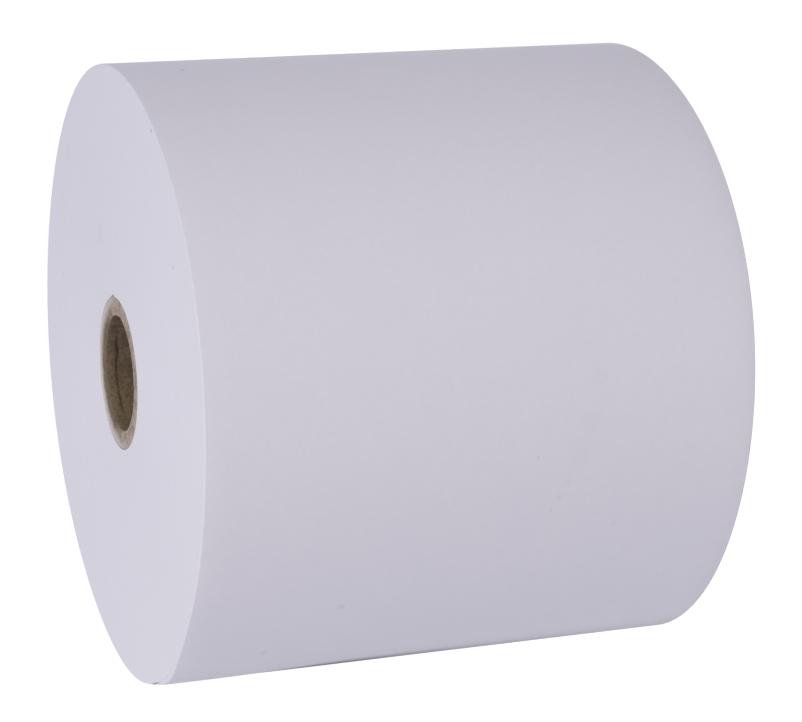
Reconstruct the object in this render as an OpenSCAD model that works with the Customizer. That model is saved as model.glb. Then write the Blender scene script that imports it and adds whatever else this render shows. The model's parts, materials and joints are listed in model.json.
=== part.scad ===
// Thermal paper roll, as used in till and card-terminal printers.
// A narrow web of white paper is wound many times round a kraft board core.
// The roll stands on one end: Z runs along its axis and the origin is the
// centre of the end that it rests on. X and Y lie in that end. Angles are
// counted from X towards Y, seen from above.

/* [Roll] */
// Width of the web, which is the height of the standing roll
roll_w = 57; // [30:0.5:120]
// Mean diameter over the outer turn
roll_d = 65; // [40:0.5:100]

/* [Core] */
// Diameter of the hole for the spindle
bore_d = 12; // [8:0.5:20]
// Thickness of the wound board wall
core_wall = 2; // [1:0.1:3]
// How far each end of the core sits below the end of the paper
core_inset = 0.15; // [0:0.05:1]
// Height and width of the crushed lip at each mouth of the bore
mouth_break = 0.15; // [0.1:0.05:0.5]
// Number of board plies in the wall
plies = 4; // [2:1:6]
// Depth of the fine line between two plies, on each end of the core
ply_line = 0.06; // [0.02:0.01:0.15]

/* [Turns] */
// Number of bands of turns that show on each end
bands = 13; // [4:1:20]
// Greatest depth of a band below the end face
band_relief = 0.08; // [0.02:0.01:0.3]
// Width of the slope between one band and the next
band_slope = 0.15; // [0.05:0.05:0.3]
// Share of a band's pitch by which the borders wander
band_wander = 0.28; // [0:0.01:0.4]
// Width of the flat outer band, which the roll stands on
rest_band = 2.4; // [1:0.1:5]

/* [Out of round] */
// Height of the oval above the mean radius
oval = 0.5; // [0:0.05:1]
// Direction of the oval's long way
oval_dir = 78; // [0:1:180]
// Height of the three soft corners
three_lobe = 0.22; // [0:0.02:0.5]
// Direction of the first of the three corners
three_lobe_dir = 73; // [0:1:120]
// Height of the four soft corners
four_lobe = 0.24; // [0:0.02:0.5]
// Direction of the first of the four corners
four_lobe_dir = 7; // [0:1:90]

/* [Tail] */
// Direction of the free edge where the web ends
tail_dir = 186; // [0:1:359]
// Angle over which the last turns stand off the roll
tail_span = 20; // [8:1:40]
// Angle over which the roll falls away before the free edge
tail_run_in = 20; // [8:1:40]
// Thickness of the loose last turns where their gap closes
tail_thick = 0.7; // [0.3:0.05:1]
// Thickness that is left of them at the free edge
tail_edge = 0.12; // [0.06:0.01:0.3]
// How far the free edge is lifted above the roll's outline
tail_lift = 0.05; // [0:0.05:0.5]
// How much wider the gap is at the free edge than at its tip
tail_gap = 0.14; // [0.05:0.01:0.3]

/* [First turn] */
// Direction of the edge where the web starts on the core
start_dir = 354; // [0:1:359]
// Height of the wedge of air beside that edge
start_gap = 0.25; // [0.1:0.05:0.5]
// Angle over which the second turn comes down to the core
start_span = 13; // [5:1:25]

/* [Hidden] */

$fn = 120;
// Angle between two points of the roll's outline
outline_step = 2;
// Angle between two points of the gap under the tail
tail_step = 1;
// Overshoot of a cut past the face that it opens
over = 1;
// Width left between the walls where the tail gap closes
gap_tip = 0.05;

roll_r = roll_d / 2;
bore_r = bore_d / 2;
core_r = bore_r + core_wall;
core_len = roll_w - 2 * core_inset;
ply_t = core_wall / plies;
banded_r = roll_r - rest_band - oval - three_lobe - four_lobe;
band_pitch = (banded_r - core_r) / bands;

// A point at distance r from the axis in direction a
function polar(r, a) = [r * cos(a), r * sin(a)];

// Smooth step from 0 to 1 as t goes from 0 to 1
function ease(t) = t <= 0 ? 0 : t >= 1 ? 1 : t * t * (3 - 2 * t);

// Radius of the settled roll in direction a: a circle with an oval, a
// three-cornered and a four-cornered swell
function settled_r(a) =
    roll_r
    + oval * cos(2 * (a - oval_dir))
    + three_lobe * cos(3 * (a - three_lobe_dir))
    + four_lobe * cos(4 * (a - four_lobe_dir));

// How much of the lift is left at angle a past the free edge
function lift_left(a) = 1 - ease(a / tail_span);

// Radius of the outer turn at angle a past the free edge
function outer_r(a) = settled_r(tail_dir + a) + tail_lift * lift_left(a);

// Thickness of the loose turns, which thin out towards the free edge
function loose_t(a) = tail_edge + (tail_thick - tail_edge) * ease(a / tail_span);

// Upper wall of the gap under the loose turns, at angle a past the free edge
function gap_top(a) = outer_r(a) - loose_t(a);

// Lower wall of that gap, which closes towards its tip
function gap_bottom(a) = gap_top(a) - tail_gap * (1 - a / tail_span) - gap_tip;

// How far the roll has fallen away at angle a before the free edge, to run
// in under the loose turns
function run_in_drop(a) = (settled_r(tail_dir) - gap_bottom(0)) * (1 - ease(a / tail_run_in));

// Radius once round the roll, at angle a past the free edge
function turn_r(a) = a < 180 ? outer_r(a) : settled_r(tail_dir + a) - run_in_drop(360 - a);

// Radius of the border below band k: evenly spaced, with a small wander
function band_r(k) =
    core_r + band_pitch * (k + (k == 0 || k == bands ? 0 : band_wander * sin(137 * k)));

// Depth of band k below the end face
function band_depth(k) = band_relief * (0.5 + 0.5 * sin(83 * k + 40));

// Outline of the roll: from the free edge once round to below it, along the
// lower wall of the gap to its tip, and back under the loose turns
module turn_outline() {
    turn = [for (a = [0:outline_step:360 - outline_step]) polar(turn_r(a), tail_dir + a)];
    lower = [for (a = [0:tail_step:tail_span]) polar(gap_bottom(a), tail_dir + a)];
    upper = [for (a = [tail_span:-tail_step:0]) polar(gap_top(a), tail_dir + a)];
    polygon(concat(turn, lower, upper));
}

// Wedge of air beside the first turn's edge. Its inner corners lie inside
// the core's circle, so that the cut meets the hole of the paper.
module start_cut() {
    polygon([
        polar(core_r - over, start_dir),
        polar(core_r + start_gap, start_dir),
        polar(core_r + start_gap / 3, start_dir + start_span / 2),
        polar(core_r - start_gap / 2, start_dir + start_span),
    ]);
}

// Section of the relief on an end: flat bands at their own depths, joined by
// short slopes. Height 0 is the end face.
module band_section() {
    steps = [
        for (k = [0:bands - 1])
            for (side = [0, 1])
                [band_r(k + side) + (side == 0 ? band_slope : 0), -band_depth(k)]
    ];
    polygon(concat([[core_r - over, -band_depth(0)]], steps,
        [[banded_r + band_slope, 0], [banded_r + band_slope, over], [core_r - over, over]]));
}

// Wound paper: one solid for all its turns
module paper_roll() {
    color("#e9e8f0")
    difference() {
        linear_extrude(roll_w)
        difference() {
            turn_outline();
            circle(core_r);
            start_cut();
        }
        translate([0, 0, roll_w]) rotate_extrude() band_section();
        mirror([0, 0, 1]) rotate_extrude() band_section();
    }
}

// Corners of the core's wall above its middle: a straight bore that opens at
// the crushed lip, and a fine line between each two plies on the end
function core_corners() = concat(
    [[bore_r, core_len / 2 - mouth_break], [bore_r + mouth_break, core_len / 2]],
    [
        for (k = [1:plies - 1])
            for (side = [-1, 0, 1])
                [
                    bore_r + k * ply_t + side * ply_line,
                    core_len / 2 - (side == 0 ? ply_line : 0)
                ]
    ],
    [[core_r, core_len / 2]]
);

// Wound board tube that the web is wound on. Its section goes up the bore,
// across the top end, down the outside and back across the bottom end.
module core_tube() {
    top = core_corners();
    bottom = [for (k = [len(top) - 1:-1:0]) [top[k][0], -top[k][1]]];
    color("#a8927c")
    translate([0, 0, roll_w / 2])
    rotate_extrude()
    polygon(concat(top, bottom));
}

paper_roll();
core_tube();
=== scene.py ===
# %% [markdown]
# A roll of thermal paper stands on one end. It is a long white web, 57 mm wide, wound about
# four hundred times round a board tube. This lesson dresses the exact solids of the roll:
# the wound paper with its loose last turn, the torn board tube, their finishes, and a plain
# white studio with the camera of the photograph.

# %% Load the frame
import json
import math

import bmesh
import bpy
import numpy as np
from mathutils import Matrix, Vector


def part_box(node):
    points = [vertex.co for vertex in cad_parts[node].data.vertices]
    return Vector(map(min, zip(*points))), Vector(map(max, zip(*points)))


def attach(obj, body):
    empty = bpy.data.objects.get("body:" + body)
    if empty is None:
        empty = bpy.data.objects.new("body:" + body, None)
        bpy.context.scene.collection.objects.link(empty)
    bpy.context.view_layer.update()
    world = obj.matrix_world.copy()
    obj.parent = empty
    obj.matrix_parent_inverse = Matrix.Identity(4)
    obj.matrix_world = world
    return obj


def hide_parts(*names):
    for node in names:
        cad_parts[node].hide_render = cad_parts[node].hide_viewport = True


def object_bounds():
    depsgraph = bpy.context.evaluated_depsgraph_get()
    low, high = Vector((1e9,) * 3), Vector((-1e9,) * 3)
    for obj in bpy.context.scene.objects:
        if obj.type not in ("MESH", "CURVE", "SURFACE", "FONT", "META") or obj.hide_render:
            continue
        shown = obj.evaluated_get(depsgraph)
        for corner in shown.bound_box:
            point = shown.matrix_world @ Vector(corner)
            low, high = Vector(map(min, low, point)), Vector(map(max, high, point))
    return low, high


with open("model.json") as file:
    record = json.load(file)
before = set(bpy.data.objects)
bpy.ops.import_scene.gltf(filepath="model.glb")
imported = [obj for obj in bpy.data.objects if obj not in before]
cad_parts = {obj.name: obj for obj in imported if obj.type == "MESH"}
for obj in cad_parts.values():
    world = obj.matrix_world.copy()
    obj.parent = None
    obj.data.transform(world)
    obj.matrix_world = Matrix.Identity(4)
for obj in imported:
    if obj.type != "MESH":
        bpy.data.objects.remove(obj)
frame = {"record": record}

cad_low, cad_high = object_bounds()
print("CAD box", [round(v, 5) for v in (*cad_low, *cad_high)])

# %% [markdown]
# Every length below is in millimetres and every angle in degrees, as a maker would say them,
# and one factor turns them to Blender's metres. Lengths that the solids already hold are read
# from the frame, so they can't drift from it. The out-of-round outline can't be read from a
# box, so its values are repeated here. The loose tail is drawn thinner and a little longer
# than the solid's, as the photograph shows it, and it stays inside the solid's box.

# %% Sizes of the roll
MM = 0.001
core_low, core_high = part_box("core_tube")
bore_mount = next(m for m in frame["record"]["mounts"] if m["name"] == "core_bore")

roll_w = (cad_high.z - cad_low.z) / MM
roll_r = 32.495  # a hair under the solid's 32.5, so the finer outline stays in its box
core_r = (core_high.x - core_low.x) / 2 / MM
bore_r = bore_mount["dims"]["r_mm"]
core_top = core_high.z / MM
core_bottom = core_low.z / MM

# Soft oval, three-cornered and four-cornered swell of a roll that has lain about
swells = [(2, 0.5, 78.0), (3, 0.22, 73.0), (4, 0.24, 7.0)]

# Flat where the roll has lain: how deep, its direction, and how far it reaches
flat_depth = 0.11
flat_dir = 202.0
flat_reach = 24.0

# Loose last turns at the tail, and the edge where the web starts on the core
tail_dir = 186.0
tail_span = 24.0
tail_run_in = 20.0
tail_thick = 0.48
tail_edge = 0.03
tail_lift = 0.02
tail_curl = 0.13
tail_bulge = 0.48
tail_dent = 0.18
tail_gap = 0.085
gap_line = 0.012
start_dir = 354.0
start_gap = 0.25
start_span = 13.0
print(f"roll {roll_w:.1f} mm wide, core {core_r:.1f} mm and bore {bore_r:.1f} mm in radius")

# %% [markdown]
# The shapes are worked out as whole numpy arrays. Three small helpers do most of the work: a
# smooth step, a smooth random curve for what no rule gives, and a random field that closes on
# itself round the roll. Each has its own fixed seed, so the result is the same on every run.

# %% Helpers for curves and random fields
def ease(t):
    """Smooth step: 0 below 0, 1 above 1, and 3 t squared less 2 t cubed between."""
    t = np.clip(t, 0.0, 1.0)
    return t * t * (3.0 - 2.0 * t)


def rise(value, start, length):
    """Smooth step that starts where value is start, and is complete a length further on."""
    return ease((value - start) / length)


def random_curve(t, seed, count=512):
    """Smooth random curve from -1 to 1: random values at whole t, eased between them."""
    values = np.random.default_rng(seed).uniform(-1.0, 1.0, count)
    t = np.asarray(t, float)
    cell = np.floor(t).astype(int)
    share = ease(t - cell)
    return values[cell % count] * (1 - share) + values[(cell + 1) % count] * share


def random_field(angle, along, seed, cells_round, size_along):
    """Smooth random field round a tube: random values on a lattice that wraps round the
    angle, with cells of a given length along the tube, eased between its points."""
    lattice = np.random.default_rng(seed).uniform(-1.0, 1.0, (cells_round, 257))
    u = np.asarray(angle, float) / 360.0 * cells_round
    v = np.asarray(along, float) / size_along
    i, j = np.floor(u).astype(int), np.floor(v).astype(int)
    s, t = ease(u - i), ease(v - j)
    i0, i1, j0, j1 = i % cells_round, (i + 1) % cells_round, j % 257, (j + 1) % 257
    low = lattice[i0, j0] * (1 - s) + lattice[i1, j0] * s
    high = lattice[i0, j1] * (1 - s) + lattice[i1, j1] * s
    return low * (1 - t) + high * t


def polar_points(r, angle, z):
    """Points in millimetres: x is r cos angle, y is r sin angle, and z is the height."""
    r, angle, z = np.broadcast_arrays(r, np.radians(angle), z)
    return np.stack([r * np.cos(angle), r * np.sin(angle), z], -1)


# %% [markdown]
# A piece is a set of patches. Each patch is a grid of points, and a grid turns into four-sided
# faces by plain index arithmetic. Patches share the points along their borders, so merging
# doubles closes the surface. The helper then turns all faces outwards and reports whether any
# edge was left open, because a closed mesh is what a printer or a slicer can use.

# %% Helpers for meshes
def grid_faces(rows, columns, first):
    """Corner numbers of a grid's four-sided faces, with its points counted from first."""
    corner = first + np.arange(rows * columns).reshape(rows, columns)
    return np.stack(
        [corner[:-1, :-1], corner[:-1, 1:], corner[1:, 1:], corner[1:, :-1]], -1
    ).reshape(-1, 4)


def build_piece(name, patches, materials, sharp_angle=30.0):
    """One mesh object from patches of (grid of points in mm, material number, smooth) and
    perhaps a grid of marks from 0 to 1, which the materials read as the attribute mark."""
    points, faces, slots, smooth, marks, first = [], [], [], [], [], 0
    for grid, material, is_smooth, *mark in patches:
        rows, columns = grid.shape[:2]
        made = grid_faces(rows, columns, first)
        points.append(grid.reshape(-1, 3) * MM)
        marks.append(np.broadcast_to(mark[0] if mark else 0.0, (rows, columns)).ravel())
        faces.append(made)
        slots.append(np.full(len(made), material))
        smooth.append(np.full(len(made), is_smooth))
        first += rows * columns
    mesh = bpy.data.meshes.new(name)
    mesh.from_pydata(np.concatenate(points), [], np.concatenate(faces))
    mesh.polygons.foreach_set("material_index", np.concatenate(slots).astype(np.int32))
    mesh.polygons.foreach_set("use_smooth", np.concatenate(smooth))
    layer = mesh.attributes.new("mark", "FLOAT", "POINT")
    layer.data.foreach_set("value", np.concatenate(marks).astype(np.float32))

    shell = bmesh.new()
    shell.from_mesh(mesh)
    bmesh.ops.remove_doubles(shell, verts=shell.verts, dist=0.0005 * MM)
    bmesh.ops.dissolve_degenerate(shell, edges=shell.edges, dist=0.0005 * MM)
    bmesh.ops.recalc_face_normals(shell, faces=shell.faces)
    open_edges = sum(not edge.is_manifold for edge in shell.edges)
    volume = shell.calc_volume() / MM**3
    triangles = sum(len(face.verts) - 2 for face in shell.faces)
    shell.to_mesh(mesh)
    shell.free()

    mesh.set_sharp_from_angle(angle=math.radians(sharp_angle))
    for material in materials:
        mesh.materials.append(material)
    piece = bpy.data.objects.new(name, mesh)
    bpy.context.scene.collection.objects.link(piece)
    print(f"{name}: {triangles} triangles, {open_edges} open edges, {volume:.0f} mm3")
    return piece


# %% [markdown]
# Colours are written as sRGB hex, as a paint chart gives them, and turned to the linear values
# that the renderer needs. One small function adds a node: an input given as a socket is linked,
# and any other value is set on it.

# %% Helpers for materials
def srgb(hex_colour):
    """Linear red, green, blue and full alpha of an sRGB hex colour such as d6d4df."""
    parts = [int(hex_colour[i : i + 2], 16) / 255 for i in (0, 2, 4)]
    linear = [c / 12.92 if c <= 0.04045 else ((c + 0.055) / 1.055) ** 2.4 for c in parts]
    return (*linear, 1.0)


def add_node(tree, kind, inputs=None, **settings):
    """Adds a node with its settings, and sets or links its inputs by name or number."""
    node = tree.nodes.new(kind)
    for name, value in settings.items():
        setattr(node, name, value)
    for name, value in (inputs or {}).items():
        if isinstance(value, bpy.types.NodeSocket):
            tree.links.new(value, node.inputs[name])
        else:
            node.inputs[name].default_value = value
    return node


def new_material(name):
    """An empty node material, its node tree, and its Object coordinates, in metres."""
    material = bpy.data.materials.new(name)
    material.use_nodes = True
    tree = material.node_tree
    tree.nodes.clear()
    place = add_node(tree, "ShaderNodeTexCoord").outputs["Object"]
    print("material:", name)
    return material, tree, place


def finish_material(tree, shader_inputs, **settings):
    """Ends a material with a Principled shader and its output."""
    shader = add_node(tree, "ShaderNodeBsdfPrincipled", shader_inputs, **settings)
    add_node(tree, "ShaderNodeOutputMaterial", {"Surface": shader.outputs["BSDF"]})


# %% [markdown]
# A pattern is built in small steps, and each step hands its socket to the next one: a soft
# random pattern, a sum or a product, a smooth change of range, and a mix of two colours. Small
# handled marks are round spots, each at its own place on the piece.

# %% Helpers for patterns
def noise(tree, place, size_mm, detail=2.0, roughness=0.5):
    """Soft random pattern whose blotches are about size_mm across, from 0 to 1."""
    scale = 1.0 / (size_mm * MM)
    inputs = {"Vector": place, "Scale": scale, "Detail": detail, "Roughness": roughness}
    return add_node(tree, "ShaderNodeTexNoise", inputs).outputs["Fac"]


def math_node(tree, operation, *values):
    """One arithmetic step on sockets or numbers."""
    return add_node(
        tree, "ShaderNodeMath", dict(enumerate(values)), operation=operation
    ).outputs[0]


def remap(tree, value, low, high, to_low=0.0, to_high=1.0):
    """Carries value from the span low to high smoothly onto to_low to to_high."""
    inputs = {"Value": value, 1: low, 2: high, 3: to_low, 4: to_high}
    return add_node(
        tree, "ShaderNodeMapRange", inputs, interpolation_type="SMOOTHSTEP"
    ).outputs["Result"]


def blend(tree, share, first, second, how="MIX"):
    """Mixes two colours: share 0 gives the first and 1 the second."""
    node = add_node(tree, "ShaderNodeMix", data_type="RGBA", blend_type=how)
    for number, value in ((0, share), (6, first), (7, second)):
        if isinstance(value, bpy.types.NodeSocket):
            tree.links.new(value, node.inputs[number])
        else:
            node.inputs[number].default_value = value
    return node.outputs[2]


def mark_strength(tree):
    """The mark from 0 to 1 that the mesh carries at each of its points."""
    return add_node(tree, "ShaderNodeAttribute", attribute_name="mark").outputs["Fac"]


def distance_from_axis(tree, place):
    """Distance of a place from the roll's axis."""
    flat = add_node(
        tree, "ShaderNodeVectorMath", {0: place, 1: (1.0, 1.0, 0.0)}, operation="MULTIPLY"
    ).outputs["Vector"]
    return add_node(
        tree, "ShaderNodeVectorMath", {0: flat}, operation="LENGTH"
    ).outputs["Value"]


def spots(tree, place, marks):
    """Strength from 0 to 1 of small round marks, each (x, y, z, radius, strength) in mm: full
    inside half the radius, and none past it."""
    total = 0.0
    for x, y, z, radius, strength in marks:
        centre = (x * MM, y * MM, z * MM)
        distance = add_node(
            tree, "ShaderNodeVectorMath", {0: place, 1: centre}, operation="DISTANCE"
        ).outputs["Value"]
        spot = remap(tree, distance, radius * 0.4 * MM, radius * MM, strength, 0.0)
        total = math_node(tree, "ADD", total, spot)
    return math_node(tree, "MINIMUM", total, 1.0)


# %% [markdown]
# The outer face of thermal paper carries a smooth coating with a weak satin sheen. It is not
# pure white but a little cool, and up close it is faintly cloudy, because the fibres of the
# sheet lie in clumps about half a millimetre across. A few grey specks show that the roll has
# been handled. Along the free edge the mesh carries a mark. The shader darkens by it and makes
# the coating rougher there: painted shade, a grey band that stands in for a contact shadow.

# %% Coated paper of the outer turn
paper_white = "d8d5e2"
speck_grey = "6b6570"
# painted shade: grey of the band along the free edge
painted_shade_grey = "48434d"
fibre_clump_mm = 0.55
cloud_mm = 6.0
fibre_mm = 0.12


def on_side(psi, z, radius, strength):
    """A mark on the outer turn at psi degrees from the near side towards +X, z mm high."""
    angle = psi - 90.0
    reach = outline_r(angle - tail_dir, z)
    x, y, _ = polar_points(reach, angle, z)
    return (x, y, z, radius, strength)


def coated_paper():
    """Outer face of the web: cool white, cloudy, with a weak satin sheen, and a band of painted
    shade along the free edge. Each of its marks has a direction, a height, a radius and a
    strength."""
    material, tree, place = new_material("coated thermal paper")
    clumps = remap(tree, noise(tree, place, fibre_clump_mm, 3.0, 0.6), 0.3, 0.7)
    clouds = remap(tree, noise(tree, place, cloud_mm, 2.0), 0.3, 0.7)
    colour = blend(tree, clumps, srgb("d6d3e0"), srgb(paper_white))
    colour = blend(tree, math_node(tree, "MULTIPLY", clouds, 0.2), colour, srgb("d4d1e0"))
    marks = [
        on_side(69.6, 50.5, 0.3, 0.4),
        on_side(-50.0, 41.5, 0.6, 0.12),
        on_side(-63.0, 48.0, 0.5, 0.12),
        on_side(-29.0, 20.5, 0.3, 0.13),
        on_side(-25.8, 19.8, 0.25, 0.1),
        on_side(-20.8, 23.2, 0.22, 0.1),
        on_side(-31.5, 21.2, 0.25, 0.11),
        on_side(-35.8, 14.0, 0.3, 0.08),
        on_side(-43.2, 12.0, 0.3, 0.06),
        on_side(-7.3, 16.8, 1.2, 0.02),
        on_side(-15.0, 17.8, 1.6, 0.02),
        on_side(-21.2, 19.0, 1.6, 0.02),
    ]
    colour = blend(tree, spots(tree, place, marks), colour, srgb(speck_grey))
    # painted shade along the free edge, read from the mesh's mark
    painted_shade = mark_strength(tree)
    colour = blend(tree, painted_shade, colour, srgb(painted_shade_grey))
    height = math_node(tree, "ADD", clumps, noise(tree, place, fibre_mm, 2.0))
    bump = add_node(
        tree, "ShaderNodeBump", {"Height": height, "Strength": 0.25, "Distance": 0.004 * MM}
    )
    finish_material(
        tree,
        {
            "Base Color": colour,
            "Roughness": remap(tree, painted_shade, 0.0, 1.0, 0.5, 0.95),
            "IOR": 1.45,
            "Specular IOR Level": 0.2,
            "Normal": bump.outputs["Normal"],
        },
    )
    return material


# %% [markdown]
# The ends of the roll are the cut edges of all the turns. The knife leaves them matt, a
# little brighter than the coated face, and very finely ringed. Real turns are 0.06 mm thick,
# too fine to show, so the rings are drawn about five times as coarse. Fine rings shine across
# their run and not along it, as on a record, so the shader is anisotropic about the axis.

# %% Cut edges of the turns
ring_mm = 0.32
ring_cloud_mm = 1.6


def cut_edges():
    """Cut edges of the turns on both ends: matt cool white with fine rings."""
    material, tree, place = new_material("slit edges of paper")
    radius = distance_from_axis(tree, place)
    rings = add_node(
        tree,
        "ShaderNodeTexNoise",
        {"W": radius, "Scale": 1.0 / (ring_mm * MM), "Detail": 1.0},
        noise_dimensions="1D",
    ).outputs["Fac"]
    bands = add_node(
        tree,
        "ShaderNodeTexNoise",
        {"W": radius, "Scale": 1.0 / (ring_cloud_mm * MM), "Detail": 2.0},
        noise_dimensions="1D",
    ).outputs["Fac"]
    clouds = noise(tree, place, 9.0, 2.0)
    tone = math_node(tree, "ADD", math_node(tree, "MULTIPLY", rings, 0.35), bands)
    tone = math_node(tree, "ADD", tone, clouds)
    colour = blend(tree, remap(tree, tone, 0.7, 1.6), srgb("d7d5e1"), srgb("d8d6e2"))
    marks = [
        (22.95, -21.75, roll_w, 0.28, 0.5),
        (23.15, -9.75, roll_w, 0.22, 0.22),
        (9.5, -25.75, roll_w, 0.28, 0.3),
        (24.85, 14.75, roll_w, 1.3, 0.04),
        (19.75, 19.5, roll_w, 0.4, 0.09),
        (14.75, 2.75, roll_w, 1.4, 0.05),
        (13.95, -3.85, roll_w, 0.25, 0.18),
        (11.65, 22.0, roll_w, 0.4, 0.14),
        (-4.8, 19.5, roll_w, 0.4, 0.1),
        (-4.75, -9.0, roll_w, 0.3, 0.08),
    ]
    colour = blend(tree, spots(tree, place, marks), colour, srgb("6e6a74"))
    bump = add_node(
        tree, "ShaderNodeBump", {"Height": rings, "Strength": 0.2, "Distance": 0.004 * MM}
    )
    around = add_node(tree, "ShaderNodeTangent", direction_type="RADIAL", axis="Z")
    finish_material(
        tree,
        {
            "Base Color": colour,
            "Roughness": 0.6,
            "IOR": 1.45,
            "Specular IOR Level": 0.25,
            "Anisotropic": 0.5,
            "Tangent": around.outputs["Tangent"],
            "Normal": bump.outputs["Normal"],
        },
    )
    return material


# %% [markdown]
# Little light gets between two turns, so the walls of the gap under the tail, of the wedge
# beside the first turn and of the paper's hole look greyer than the rest. They are the same
# paper, seen mostly in their own shade, and a soft grey stands for that.

# %% Paper in the shade between turns
def shaded_paper():
    """Paper walls between two turns, darker where the mesh marks them as deep in shade."""
    material, tree, place = new_material("paper in the gap between turns")
    cloud = noise(tree, place, 1.0, 2.0)
    open_wall = blend(tree, cloud, srgb("cdc8cf"), srgb("d6d1d8"))
    colour = blend(tree, mark_strength(tree), open_wall, srgb("a8a2ac"))
    finish_material(tree, {"Base Color": colour, "Roughness": 0.8, "Specular IOR Level": 0.1})
    return material


# %% [markdown]
# The outline of the roll is a circle with three soft swells. Angles are counted from the free
# edge of the web, so that the tail is simple to say: the last turns stand off the roll by a
# little at the free edge and settle within twenty degrees. Handled paper never lies quite flat:
# the free edge bows out at two thirds of its height, and behind its top corner, which curls in,
# the loose turns bulge by half a millimetre. On that side the roll also has a very shallow
# flat, because it has lain there.

# %% Outer turn, settled and lifted
# Heights are in mm, and angles in degrees past the free edge. A pair holds where a smooth
# change starts and how far it takes.
bow_height, bow_reach, bow_share = 42.0, 6.0, 0.5
near_end = (34.0, 18.0)
bulge_rise, bulge_fall = (3.5, 8.0), (14.0, 11.0)
dent_middle, dent_reach, dent_rise = 33.0, 8.0, (10.0, 9.0)
curl_rise, curl_reach = (51.0, 6.0), 6.0
lift_reach = 20.0


def settled_r(angle):
    """Radius of the settled roll: the mean radius with one cosine for each swell, less a bell
    for the flat."""
    from_flat = np.mod(angle - flat_dir + 180.0, 360.0) - 180.0
    swelled = sum(
        height * np.cos(np.radians(count * (angle - way))) for count, height, way in swells
    )
    return roll_r + swelled - flat_depth * np.exp(-((from_flat / flat_reach) ** 2))


def bow(z):
    """How much the free edge bows out at a height: a bell at two thirds of the width."""
    return np.exp(-(((z - bow_height) / bow_reach) ** 2))


def lift(past, z):
    """How far the outer turn stands off at an angle past the free edge: a little at the edge,
    and a soft bulge behind it near the top end, where the corner of the edge curls in. Past
    the bulge the paper is drawn tight into a shallow dent."""
    bulge = tail_bulge * rise(past, *bulge_rise) * (1 - rise(past, *bulge_fall))
    across_dent = np.exp(-(((past - dent_middle) / dent_reach) ** 2))
    bulge = bulge - tail_dent * across_dent * rise(past, *dent_rise)
    curl = tail_curl * rise(z, *curl_rise) * (1 - ease(past / curl_reach))
    edge = tail_lift * (1.0 + bow_share * bow(z)) * (1 - ease(past / lift_reach))
    return edge + rise(z, *near_end) * bulge - curl


print(f"bulge of {lift(12.0, roll_w):.2f} mm behind the free edge, at the top end")

# %% [markdown]
# A narrow gap lies under the loose turns. It is nearly closed at the free edge, opens a few
# degrees behind it and closes again to a fine line. The turns below fall away to run in under
# the loose ones, so the outline once round is drawn in just before the free edge. The inner
# wall of the paper is the core's circle, with a wedge of air where the web starts.

# %% Gap, outline and inner wall
thin_rise = (1.0, 11.0)
gap_reach, gap_lean, gap_taper, line_fade = 7.0, 0.8, 1.3, 8.0
floor_rejoins = (300.0, 60.0)
waver_size, waver_length, waver_reach = 0.6, 9.0, 30.0
wedge_taper = 1.3


def loose_thickness(past):
    """Thickness of the loose turns, which thin out towards the free edge."""
    return tail_edge + (tail_thick - tail_edge) * rise(past, *thin_rise)


def gap_width(past, z):
    """Width of the gap under the loose turns: nearly closed at the free edge, widest a few
    degrees behind it, then a fine line that closes at the end of the span. It is a half wave,
    leaned towards the edge by one power and tapered by another."""
    share = np.clip(past / gap_reach, 0, 1)
    wave = np.sin(np.pi * share**gap_lean) ** gap_taper
    opening = tail_gap * (1 + bow_share * bow(z)) * wave
    return opening + gap_line * np.clip((tail_span - past) / line_fade, 0, 1)


def gap_top(past, z):
    """Radius of the upper wall of the gap."""
    return settled_r(tail_dir + past) + lift(past, z) - loose_thickness(past)


def outline_r(past, z):
    """Radius once round the roll: settled and lifted past the free edge, and drawn in to the
    lower wall of the gap before it."""
    past = np.mod(past, 360.0 + 1e-9)
    drop = settled_r(tail_dir) - gap_top(0.0, z) + gap_width(0.0, z)
    run_in = drop * (1 - ease((360.0 - past) / tail_run_in))
    lifted = np.where(past < 180.0, lift(past, z), 0.0)
    return settled_r(tail_dir + past) + lifted - run_in


def turn_floor_r(past, z):
    """Radius of the line under the last turns: the lower wall of the gap, then a line that
    keeps its depth, and meets the outline again where the roll runs in under the tail."""
    depth = loose_thickness(past) * (1 - rise(past, *floor_rejoins))
    in_gap = past < tail_span
    return outline_r(past, z) - depth - np.where(in_gap, gap_width(past, z), 0.0)


def direction(past, z):
    """Direction of a point at an angle past the free edge. The edge wavers by up to 0.6 of a
    degree between the ends, and the turns near it follow."""
    wave = random_curve(z / waver_length + 3.0, 71)
    waver = waver_size * wave * np.sin(np.pi * z / roll_w)
    near = np.clip(1 - np.minimum(past, 360.0 - past) / waver_reach, 0, 1)
    return tail_dir + past + waver * near


def inner_r(past):
    """Radius of the paper's inner wall: the core, and the wedge of air beside the edge where
    the web starts."""
    beside = np.mod(past - (start_dir - tail_dir), 360.0) / start_span
    return core_r + start_gap * np.clip(1 - beside, 0, 1) ** wedge_taper


once_round = outline_r(np.arange(360.0), roll_w / 2)
print(f"outer turn {once_round.min():.2f} to {once_round.max():.2f} mm from the axis")

# %% [markdown]
# Now the ends. Each end is a grid whose rings follow the winding: a ring moves in by one turn
# each time round, so its end meets the start of the next ring. Forty drawn turns stand for
# some four hundred real ones. Every turn stands about a hundredth of a millimetre higher or
# lower than its neighbour, and changes slowly on its way round.

# %% Ends of the wound paper
drawn_turns = 40
turn_relief = 0.005
wide_relief = 0.012
rim_radius = 0.14
start_past = start_dir - tail_dir
past = np.concatenate(
    [np.arange(0.0, 6.0, 0.25), np.arange(6.0, 24.0, 0.5), np.arange(24.0, 360.5, 1.0)]
)
past = np.unique(np.append(past, start_past - 0.05))
print(f"{drawn_turns} drawn turns with {len(past)} columns on each end")


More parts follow.
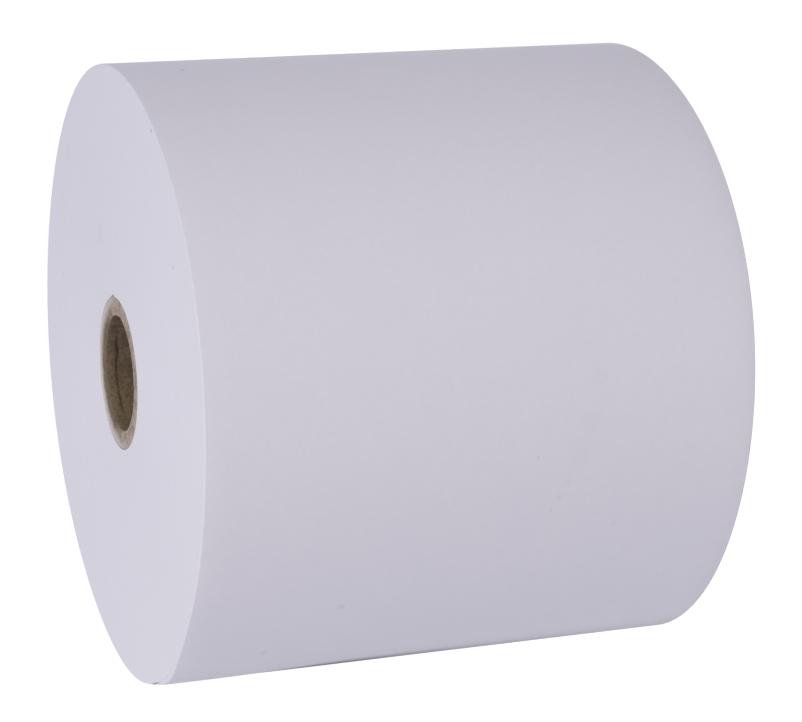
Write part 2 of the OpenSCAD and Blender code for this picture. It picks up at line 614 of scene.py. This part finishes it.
def rim_size(z):
    """Radius of the soft rim at each column: none at the free edge and where the last turn
    thins out."""
    thickness = outline_r(past, z) - turn_floor_r(past, z)
    return np.minimum(rim_radius * ease(past / 8.0), 0.3 * thickness)


def end_depth(turn, share, seed):
    """Depth of a turn's edge below the end face, in mm: a slow change over some turns and a
    quick one from turn to turn, both along the web, faded out at both borders."""
    slow = 0.5 + 0.5 * random_curve(turn / 3.1, seed)
    quick = 0.5 + 0.5 * random_curve(turn * 5.0, seed + 1)
    border = ease(share / 0.05) * ease((1 - share) / 0.04)
    return border * (wide_relief * slow + turn_relief * quick)


def end_patches(z, inwards, seed):
    """Two grids of one end: the wound turns, and the last turn outside its floor line.
    The first one's radius is the inner wall plus a share of the way to the floor line."""
    turn = np.arange(drawn_turns + 2)[:, None] - past[None, :] / 360.0
    share = np.clip(turn / drawn_turns, 0.0, 1.0)
    pairs = np.stack([share[:-1], share[1:]], 1).reshape(-1, len(past))
    own_turn = np.repeat(turn[:-1], 2, axis=0)
    inner, floor = inner_r(past), turn_floor_r(past, z)
    depth = end_depth(own_turn + 40.0, pairs, seed)
    wound = polar_points(inner + (floor - inner) * pairs, tail_dir + past, z + inwards * depth)

    ceiling = floor + np.where(past < tail_span, gap_width(past, z), 0.0)
    rim = outline_r(past, z) - rim_size(z)
    across = np.array([0.0, 0.5, 1.0])[:, None]
    last = polar_points(ceiling + (rim - ceiling) * across, tail_dir + past, z)
    return wound, last


# %% [markdown]
# The outer turn is a second grid: once round, and from end to end with a soft rim at both.
# The gap under the tail adds three narrow walls. The heights of the rows are the same on all
# of them, so that their borders meet point for point.

# %% Sides of the wound paper
side_rows = 24
rim_rows = 4

# Strengths, heights in mm, and falls in degrees past the free edge of the painted shade
band_strength, band_low, band_high = 0.2, 30.0, 12.0
patch_strength, patch_height, patch_reach = 0.34, 40.0, 10.0
faint_strength, faint_loss, faint_rise = 0.24, 0.09, (46.0, 9.0)
band_fall, faint_fall = (5.0, 6.0), (2.0, 14.0)


def painted_shade_strength(z):
    """Strength from 0 to 1 of the painted shade along the free edge: a narrow band, strongest
    at two thirds of its height, on a wider and fainter one."""
    band = band_strength * ease(z / band_low) * ease((roll_w - z) / band_high)
    band = band + patch_strength * np.exp(-(((z - patch_height) / patch_reach) ** 2))
    faint = faint_strength - faint_loss * rise(z, *faint_rise)
    return band * (1 - rise(past, *band_fall)) + faint * (1 - rise(past, *faint_fall))


def side_patch():
    """Grid of the outer turn. Each column runs from the top end to the bottom end, with a
    quarter circle at both rims."""
    level = np.linspace(1.0, 0.0, side_rows + 1)[:, None]
    turn = np.radians(np.linspace(90.0, 0.0, rim_rows + 1))[:-1, None]
    top, bottom = rim_size(roll_w), rim_size(0.0)
    z_top = roll_w - top + top * np.sin(turn)
    z_side = bottom + (roll_w - top - bottom) * level
    z_bottom = bottom - bottom * np.sin(turn[::-1])
    z = np.concatenate([z_top, z_side, z_bottom])
    inset = np.concatenate(
        [top * (1 - np.cos(turn)), 0 * z_side, bottom * (1 - np.cos(turn[::-1]))]
    )
    grid = polar_points(outline_r(past[None, :], z) - inset, direction(past, z), z)
    # the painted shade along the free edge goes on the mesh as its mark
    return grid, painted_shade_strength(z)


def gap_patches():
    """Lower wall, upper wall and free edge of the loose turns, from end to end."""
    in_gap = past[past <= tail_span][None, :]
    z = (roll_w * np.linspace(1.0, 0.0, side_rows + 1))[:, None]
    top = gap_top(in_gap, z)
    lower = polar_points(top - gap_width(in_gap, z), direction(in_gap, z), z)
    upper = polar_points(top, direction(in_gap, z), z)
    across = np.array([0.0, 0.5, 1.0])[None, :]
    low, high = gap_top(0.0, z), outline_r(0.0, z)
    edge = polar_points(low + (high - low) * across, direction(0.0, z), z)
    return lower, upper, edge


# %% [markdown]
# All the grids together are the web. The walls inside it are marked as deep in shade, from the
# free edge inwards and beside the first turn, and the outer turn carries the painted shade along
# its free edge. The finished mesh takes the place of the solid.

# %% The wound web
def wound_paper():
    """The wound web as one closed surface."""
    end, side, gap = 0, 1, 2
    top_wound, top_last = end_patches(roll_w, -1.0, seed=11)
    low_wound, low_last = end_patches(0.0, 1.0, seed=23)
    lower, upper, edge = gap_patches()
    outer, painted_shade = side_patch()
    deep = ease(past[past <= tail_span] / 2.0)
    levels = (roll_w * np.array([1.0, 0.5, 0.0]))[:, None]
    inner = polar_points(inner_r(past), tail_dir + past, levels)
    return build_piece(
        "wound_paper",
        [
            (inner, gap, True, (inner_r(past) - core_r) / start_gap),
            (top_wound, end, False),
            (top_last, end, False),
            (low_wound, end, False),
            (low_last, end, False),
            (outer, side, True, painted_shade),
            (edge, end, False),
            (lower, gap, True, deep),
            (upper, gap, True, deep),
        ],
        [cut_edges(), coated_paper(), shaded_paper()],
    )


paper = wound_paper()
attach(paper, "root")
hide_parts("paper_roll")

# %% [markdown]
# The core is a tube of grey-brown board, wound from strips of recycled pulp and cut to length
# with the web. Its cut end is blotchy and carries a little paper dust where it meets the
# turns. The knife leaves a thin torn lip round the hole. The lip is paler on the near side:
# pale torn fibres, and a painted highlight. A darker band round the hole on the far side is
# painted shade at the mouth of the hole.

# %% Cut end of the board
def board_end():
    """Cut end of the tube: grey-brown pulp with paper dust outside, a torn lip that is paler on
    the near side by its fibres and by a painted highlight, and painted shade round the hole on
    the far side.
    """
    material, tree, place = new_material("cut end of kraft board")
    radius = distance_from_axis(tree, place)
    coarse = noise(tree, place, 1.1, 3.0, 0.6)
    fine = noise(tree, place, 0.4, 2.0, 0.6)
    colour = blend(tree, remap(tree, coarse, 0.35, 0.65), srgb("83766c"), srgb("a6988a"))
    colour = blend(tree, remap(tree, fine, 0.42, 0.68, 0.0, 0.5), colour, srgb("7d6d68"))
    specks = remap(tree, noise(tree, place, 0.22, 1.0), 0.58, 0.68, 0.0, 0.55)
    colour = blend(tree, specks, colour, srgb("c9c1c0"))
    away = add_node(tree, "ShaderNodeSeparateXYZ", {"Vector": place}).outputs["Y"]
    most_dust = remap(tree, away, -3.0 * MM, 5.0 * MM, 0.15, 0.9)
    near_paper = remap(tree, radius, 6.7 * MM, 7.8 * MM)
    dust = math_node(tree, "MULTIPLY", near_paper, most_dust)
    colour = blend(tree, dust, colour, srgb("cbc4c8"))
    # painted highlight, with pale torn fibres: the lip is paler on the near side
    lip = remap(tree, radius, (bore_r + 0.15) * MM, (bore_r + 0.4) * MM, 0.75, 0.0)
    near_side = remap(tree, away, 1.0 * MM, -3.0 * MM)
    colour = blend(tree, math_node(tree, "MULTIPLY", lip, near_side), colour, srgb("c4b9af"))
    # painted shade: a darker band round the hole on the far side
    mouth_shade = remap(tree, radius, (bore_r + 0.4) * MM, (bore_r + 0.9) * MM, 0.85, 0.0)
    far_side = remap(tree, away, 0.0, 4.0 * MM)
    colour = blend(tree, math_node(tree, "MULTIPLY", mouth_shade, far_side), colour, srgb("64564a"))
    height = math_node(tree, "ADD", coarse, fine)
    bump = add_node(
        tree, "ShaderNodeBump", {"Height": height, "Strength": 0.5, "Distance": 0.04 * MM}
    )
    finish_material(
        tree,
        {
            "Base Color": colour,
            "Roughness": 0.85,
            "Specular IOR Level": 0.2,
            "Normal": bump.outputs["Normal"],
        },
    )
    return material


# %% [markdown]
# Inside, the tube is darker and browner: its inner ply is browner, and its colour is darkened
# further by painted shade in the hole. It is more olive on the lower side of the picture. One
# crushed crease runs close below the lip, on the wall that the camera sees, with a short crack
# by its head. Both are only a few hundredths of a millimetre deep, so the mesh marks them for
# the shader, which darkens them with painted shade.

# %% Wall of the hole
def board_hole():
    """Inside of the tube: brown pulp with soft blotches, darkened partly by painted shade, and a
    crushed crease darkened by painted shade.
    """
    material, tree, place = new_material("kraft board inside the hole")
    coarse = noise(tree, place, 1.4, 2.0)
    fine = noise(tree, place, 0.3, 2.0, 0.6)
    upwards = add_node(tree, "ShaderNodeSeparateXYZ", {"Vector": place}).outputs["X"]
    lower_side = remap(tree, upwards, 3.0 * MM, -5.0 * MM)
    # the hole's colours are partly painted shade
    colour = blend(tree, lower_side, srgb("6d5b52"), srgb("89785f"))
    colour = blend(tree, remap(tree, coarse, 0.38, 0.62, 0.0, 0.55), colour, srgb("8b7865"))
    colour = blend(tree, remap(tree, fine, 0.4, 0.65, 0.0, 0.5), colour, srgb("4f4138"))
    # painted shade in the crease and the crack
    colour = blend(tree, mark_strength(tree), colour, srgb("3c3127"))
    bump = add_node(
        tree, "ShaderNodeBump", {"Height": fine, "Strength": 0.3, "Distance": 0.03 * MM}
    )
    finish_material(
        tree,
        {
            "Base Color": colour,
            "Roughness": 0.9,
            "Specular IOR Level": 0.1,
            "Normal": bump.outputs["Normal"],
        },
    )
    return material


# %% [markdown]
# The tube is one profile carried round: up the outside, across the end, over the lip and down
# the hole. Random fields push the lip and the wall by a few hundredths of a millimetre, and the
# crease wanders and fades. Angles are counted round the hole from +X.

# %% Crease in the hole
crease_below, crease_dip, crease_wander = 1.14, 0.18, 0.03
broad_dir, broad_reach = 66.0, 8.0
crease_head, crease_tail = 36.0, 142.0
crack_dir, crack_reach, crack_strength = 35.0, 1.6, 0.5


def crease(angle, below):
    """Strength from 0 to 1 of the crease at an angle and a distance below the end, in mm: a
    narrow bell across it. Its line dips where the crease is broadest. A short crack runs down
    the wall by its head."""
    broad = np.exp(-(((angle - broad_dir) / broad_reach) ** 2))
    line = crease_below + crease_dip * broad + crease_wander * random_curve(angle / 8.0, 5)
    fade = rise(angle, crease_head, 22.0) * ease((crease_tail - angle) / 20.0)
    strength = fade * (0.68 + 0.22 * broad)
    width = 0.13 + 0.06 * broad
    along = rise(below, 0.2, 0.4) * ease((1.9 - below) / 0.5)
    crack = crack_strength * along * np.exp(-(((angle - crack_dir) / crack_reach) ** 2))
    return np.maximum(strength * np.exp(-(((below - line) / width) ** 2)), crack)


# %% [markdown]
# The cut end swells by a little more than a tenth of a millimetre, as board does when a knife
# has pressed it. Round the hole the knife has torn the lip: a fine fringe and wider tears push
# it in, more on the far side of the picture. Rows lie close where the eye gets close.

# %% Ends and hole of the tube
# Sizes in mm of what the knife did: each scales a random field or a bell
lip_size, swell = 0.12, 0.14
fringe_size, tear_size, far_tear = 0.035, 0.03, 0.12
wall_rough, end_rough, crease_depth = 0.006, 0.025, 0.05
lip_sink, lip_wave = 0.035, 0.05


def core_end(angle, top, seed):
    """Two grids of points: across one end and over its lip, then down the hole to its middle.
    Height runs from the end into the tube."""
    middle = (core_top - core_bottom) / 2
    ring_r = np.linspace(core_r, bore_r + lip_size, 14)
    turn = np.radians(np.linspace(0.0, 90.0, 5))[1:]
    lip_r = bore_r + lip_size * (1 - np.sin(turn))
    lip_below = lip_size * (1 - np.cos(turn))
    wall_below = lip_size + np.concatenate(
        [
            np.arange(0.1, 0.75, 0.12),
            np.arange(0.8, 1.7, 0.06),
            np.arange(1.8, 4.0, 0.15),
            np.geomspace(4.4, middle - lip_size, 10),
        ]
    )
    wall_below[-1] = middle
    r = np.concatenate([ring_r, lip_r, np.full(len(wall_below), bore_r)])[:, None]
    below = np.concatenate([0 * ring_r, lip_below, wall_below])[:, None]

    fringe = random_field(angle, 0 * angle, seed, 75, 1.0)
    tear = random_field(angle, 0 * angle, seed + 1, 30, 1.0)
    board = random_field(angle, r * 2 + below, seed + 2, 120, 0.5)
    near_lip = np.exp(-(((r - bore_r - 0.1) / 0.15) ** 2)) * np.exp(-below / 0.2)
    away = np.clip((core_r - r) / 0.3, 0, 1) * np.clip((middle - below) / 2.0, 0, 1)
    near_rim = np.exp(-(((below - lip_size) / 0.25) ** 2))
    pressed = crease(angle, below) if top else 0 * board
    far_side = ease(np.sin(np.radians(angle)) + 0.5)
    torn = fringe_size * (fringe + 1) + tear_size * (tear + 1) + far_tear * far_side
    radius = r + near_lip * torn + away * (wall_rough * (board + 1) + crease_depth * pressed)
    lip_band = np.exp(-(((r - bore_r - 0.15) / 0.3) ** 2))
    sunk = lip_sink * lip_band * (1 - 0.5 * fringe - 0.5 * tear)
    raised = swell - sunk - end_rough * (board + 1)
    below = below - ease((core_r - r) / 0.7) * np.exp(-below / 0.4) * raised
    at_hole = np.exp(-(((r - bore_r) / 0.1) ** 2))
    below = below + lip_wave * (fringe + tear + 1.2) * at_hole * near_rim
    z = core_top - below if top else core_bottom + below
    points = polar_points(np.minimum(radius, core_r), angle, z)
    last = len(ring_r) + len(lip_r) - 1
    return points[: last + 1], points[last:], pressed[last:]


# %% [markdown]
# The upper end, which the camera sees, carries the crease. The lower one is cut and torn in
# the same way from its own seed. The outer wall only joins the two, since the paper hides it.

# %% The board tube
core_columns = 300


def board_tube():
    """The core as one closed surface: both ends, the hole, and the outer wall."""
    angle = np.linspace(0.0, 360.0, core_columns + 1)[None, :]
    top_end, top_hole, creased = core_end(angle, True, seed=31)
    low_end, low_hole, _ = core_end(angle, False, seed=47)
    outer = np.stack([top_end[0], low_end[0]])
    end, hole = 0, 1
    return build_piece(
        "board_core",
        [
            (top_end, end, True),
            (top_hole, hole, True, creased),
            (low_end, end, True),
            (low_hole, hole, True),
            (outer, end, True),
        ],
        [board_end(), board_hole()],
        sharp_angle=50.0,
    )


core = board_tube()
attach(core, "root")
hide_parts("core_tube")

# %% [markdown]
# The camera comes from the photograph. The roll's outline, the border between its end and its
# side, and the hole fix its distance, its height and its focal length. The photograph shows
# the roll lying, and this one stands, so the camera is turned on its own axis by a little more
# than a quarter turn and the picture is the same.

# %% Camera
camera_place = (-1.12, -274.44, 122.56)
camera_tilt = 19.42
camera_roll = -94.67
focal_length = 121.15

camera_data = bpy.data.cameras.new("studio camera")
camera_data.sensor_width = 36.0
camera_data.lens = focal_length
camera_data.clip_start = 0.01
camera = bpy.data.objects.new("studio camera", camera_data)
bpy.context.scene.collection.objects.link(camera)
camera.matrix_world = (
    Matrix.Translation([v * MM for v in camera_place])
    @ Matrix.Rotation(math.radians(90.0 - camera_tilt), 4, "X")
    @ Matrix.Rotation(math.radians(camera_roll), 4, "Z")
)
bpy.context.scene.camera = camera
print(f"camera {Vector(camera_place).length:.0f} mm from the origin, {focal_length} mm lens")

# %% [markdown]
# The studio is plain: a white floor and an even sky of a faint blue-grey, which does more than
# half of the lighting. Seen directly, the floor and the sky are white. The floor still shows
# the roll's shadow, because only part of its white is its own: the rest is light that falls on
# it, and that part is missing in the shadow.

# %% Floor
floor_glow = 0.86


def seen_directly(tree):
    """1 for rays from the camera, and for those that reach it by a mirror or through glass."""
    path = add_node(tree, "ShaderNodeLightPath").outputs
    either = math_node(tree, "MAXIMUM", path["Is Camera Ray"], path["Is Glossy Ray"])
    return math_node(tree, "MAXIMUM", either, path["Is Transmission Ray"])


def floor_material():
    """Matt white floor: plain to the object, and lifted to white for the camera."""
    material, tree, _ = new_material("white studio floor")
    plain = add_node(tree, "ShaderNodeBsdfDiffuse", {"Color": (0.8, 0.8, 0.8, 1.0)})
    shaded = add_node(tree, "ShaderNodeBsdfDiffuse", {"Color": (0.3, 0.3, 0.3, 1.0)})
    white = {"Color": (1, 1, 1, 1), "Strength": floor_glow}
    own = add_node(tree, "ShaderNodeEmission", white)
    lifted = add_node(
        tree, "ShaderNodeAddShader", {0: shaded.outputs["BSDF"], 1: own.outputs["Emission"]}
    )
    mixed = add_node(
        tree,
        "ShaderNodeMixShader",
        {0: seen_directly(tree), 1: plain.outputs["BSDF"], 2: lifted.outputs["Shader"]},
    )
    add_node(tree, "ShaderNodeOutputMaterial", {"Surface": mixed.outputs["Shader"]})
    return material


floor_size = 3.0
floor_mesh = bpy.data.meshes.new("studio_floor")
corners = np.array([(-1, -1, 0), (1, -1, 0), (1, 1, 0), (-1, 1, 0)]) * floor_size
floor_mesh.from_pydata(corners, [], [(0, 1, 2, 3)])
floor_mesh.materials.append(floor_material())
studio_floor = bpy.data.objects.new("studio_floor", floor_mesh)
bpy.context.scene.collection.objects.link(studio_floor)
print(f"floor {2 * floor_size:.0f} m wide")

# %% [markdown]
# The sky lights the roll evenly from all round. It is a little blue and the lamps are a little
# warm, so paper in the shade is more lilac than lit paper, as in the photograph.

# %% Sky
sky_level = 0.4
world = bpy.data.worlds.new("studio sky")
world.use_nodes = True
sky = world.node_tree
sky.nodes.clear()
light_sky = add_node(
    sky, "ShaderNodeBackground", {"Color": (0.995, 0.975, 1.2, 1.0), "Strength": sky_level}
)
white_sky = add_node(sky, "ShaderNodeBackground", {"Color": (1, 1, 1, 1), "Strength": 1.0})
both_skies = add_node(
    sky,
    "ShaderNodeMixShader",
    {
        0: seen_directly(sky),
        1: light_sky.outputs["Background"],
        2: white_sky.outputs["Background"],
    },
)
add_node(sky, "ShaderNodeOutputWorld", {"Surface": both_skies.outputs["Shader"]})
bpy.context.scene.world = world
print("sky at", sky_level)

# %% [markdown]
# Three soft lamps shape the roll. The key lamp stands near the camera and above it, and lights
# the end and the broad band along the side. A long way round, the side lamp keeps the upper
# part of the picture from going dull. The low lamp is small and close, and lifts the shade
# along the lower edge of the picture. They are placed by angles round the roll, as a
# photographer would walk round a table, and each is kept weak enough for white to stay
# below the point where it clips.

# %% Lamps
roll_middle = Vector((0.0, 0.0, roll_w / 2 * MM))


def soft_lamp(name, turn, rise, distance, size, watts, colour):
    """A square lamp that faces the middle of the roll: turn degrees from the near side towards
    +X, rise degrees above it, with its distance and size in metres."""
    around, up = math.radians(turn - 90.0), math.radians(rise)
    way = Vector((math.cos(up) * math.cos(around), math.cos(up) * math.sin(around), math.sin(up)))
    data = bpy.data.lights.new(name, "AREA")
    data.shape = "SQUARE"
    data.size = size
    data.energy = watts
    data.color = colour
    lamp = bpy.data.objects.new(name, data)
    bpy.context.scene.collection.objects.link(lamp)
    place = Matrix.Translation(roll_middle + way * distance)
    lamp.matrix_world = place @ way.to_track_quat("Z", "Y").to_matrix().to_4x4()
    lamp.visible_camera = False
    print(f"{name}: {watts} W from {distance} m")


soft_lamp("key lamp", -6.5, 40.0, 0.56, 0.17, 1.065, (0.995, 1.0, 0.82))
soft_lamp("side lamp", 55.0, 13.0, 0.97, 0.29, 1.235, (0.98, 1.0, 0.75))
soft_lamp("low lamp", -85.0, 70.0, 0.3, 0.09, 0.225, (0.99, 1.0, 0.87))

scene = bpy.context.scene
scene.view_settings.view_transform = "Standard"
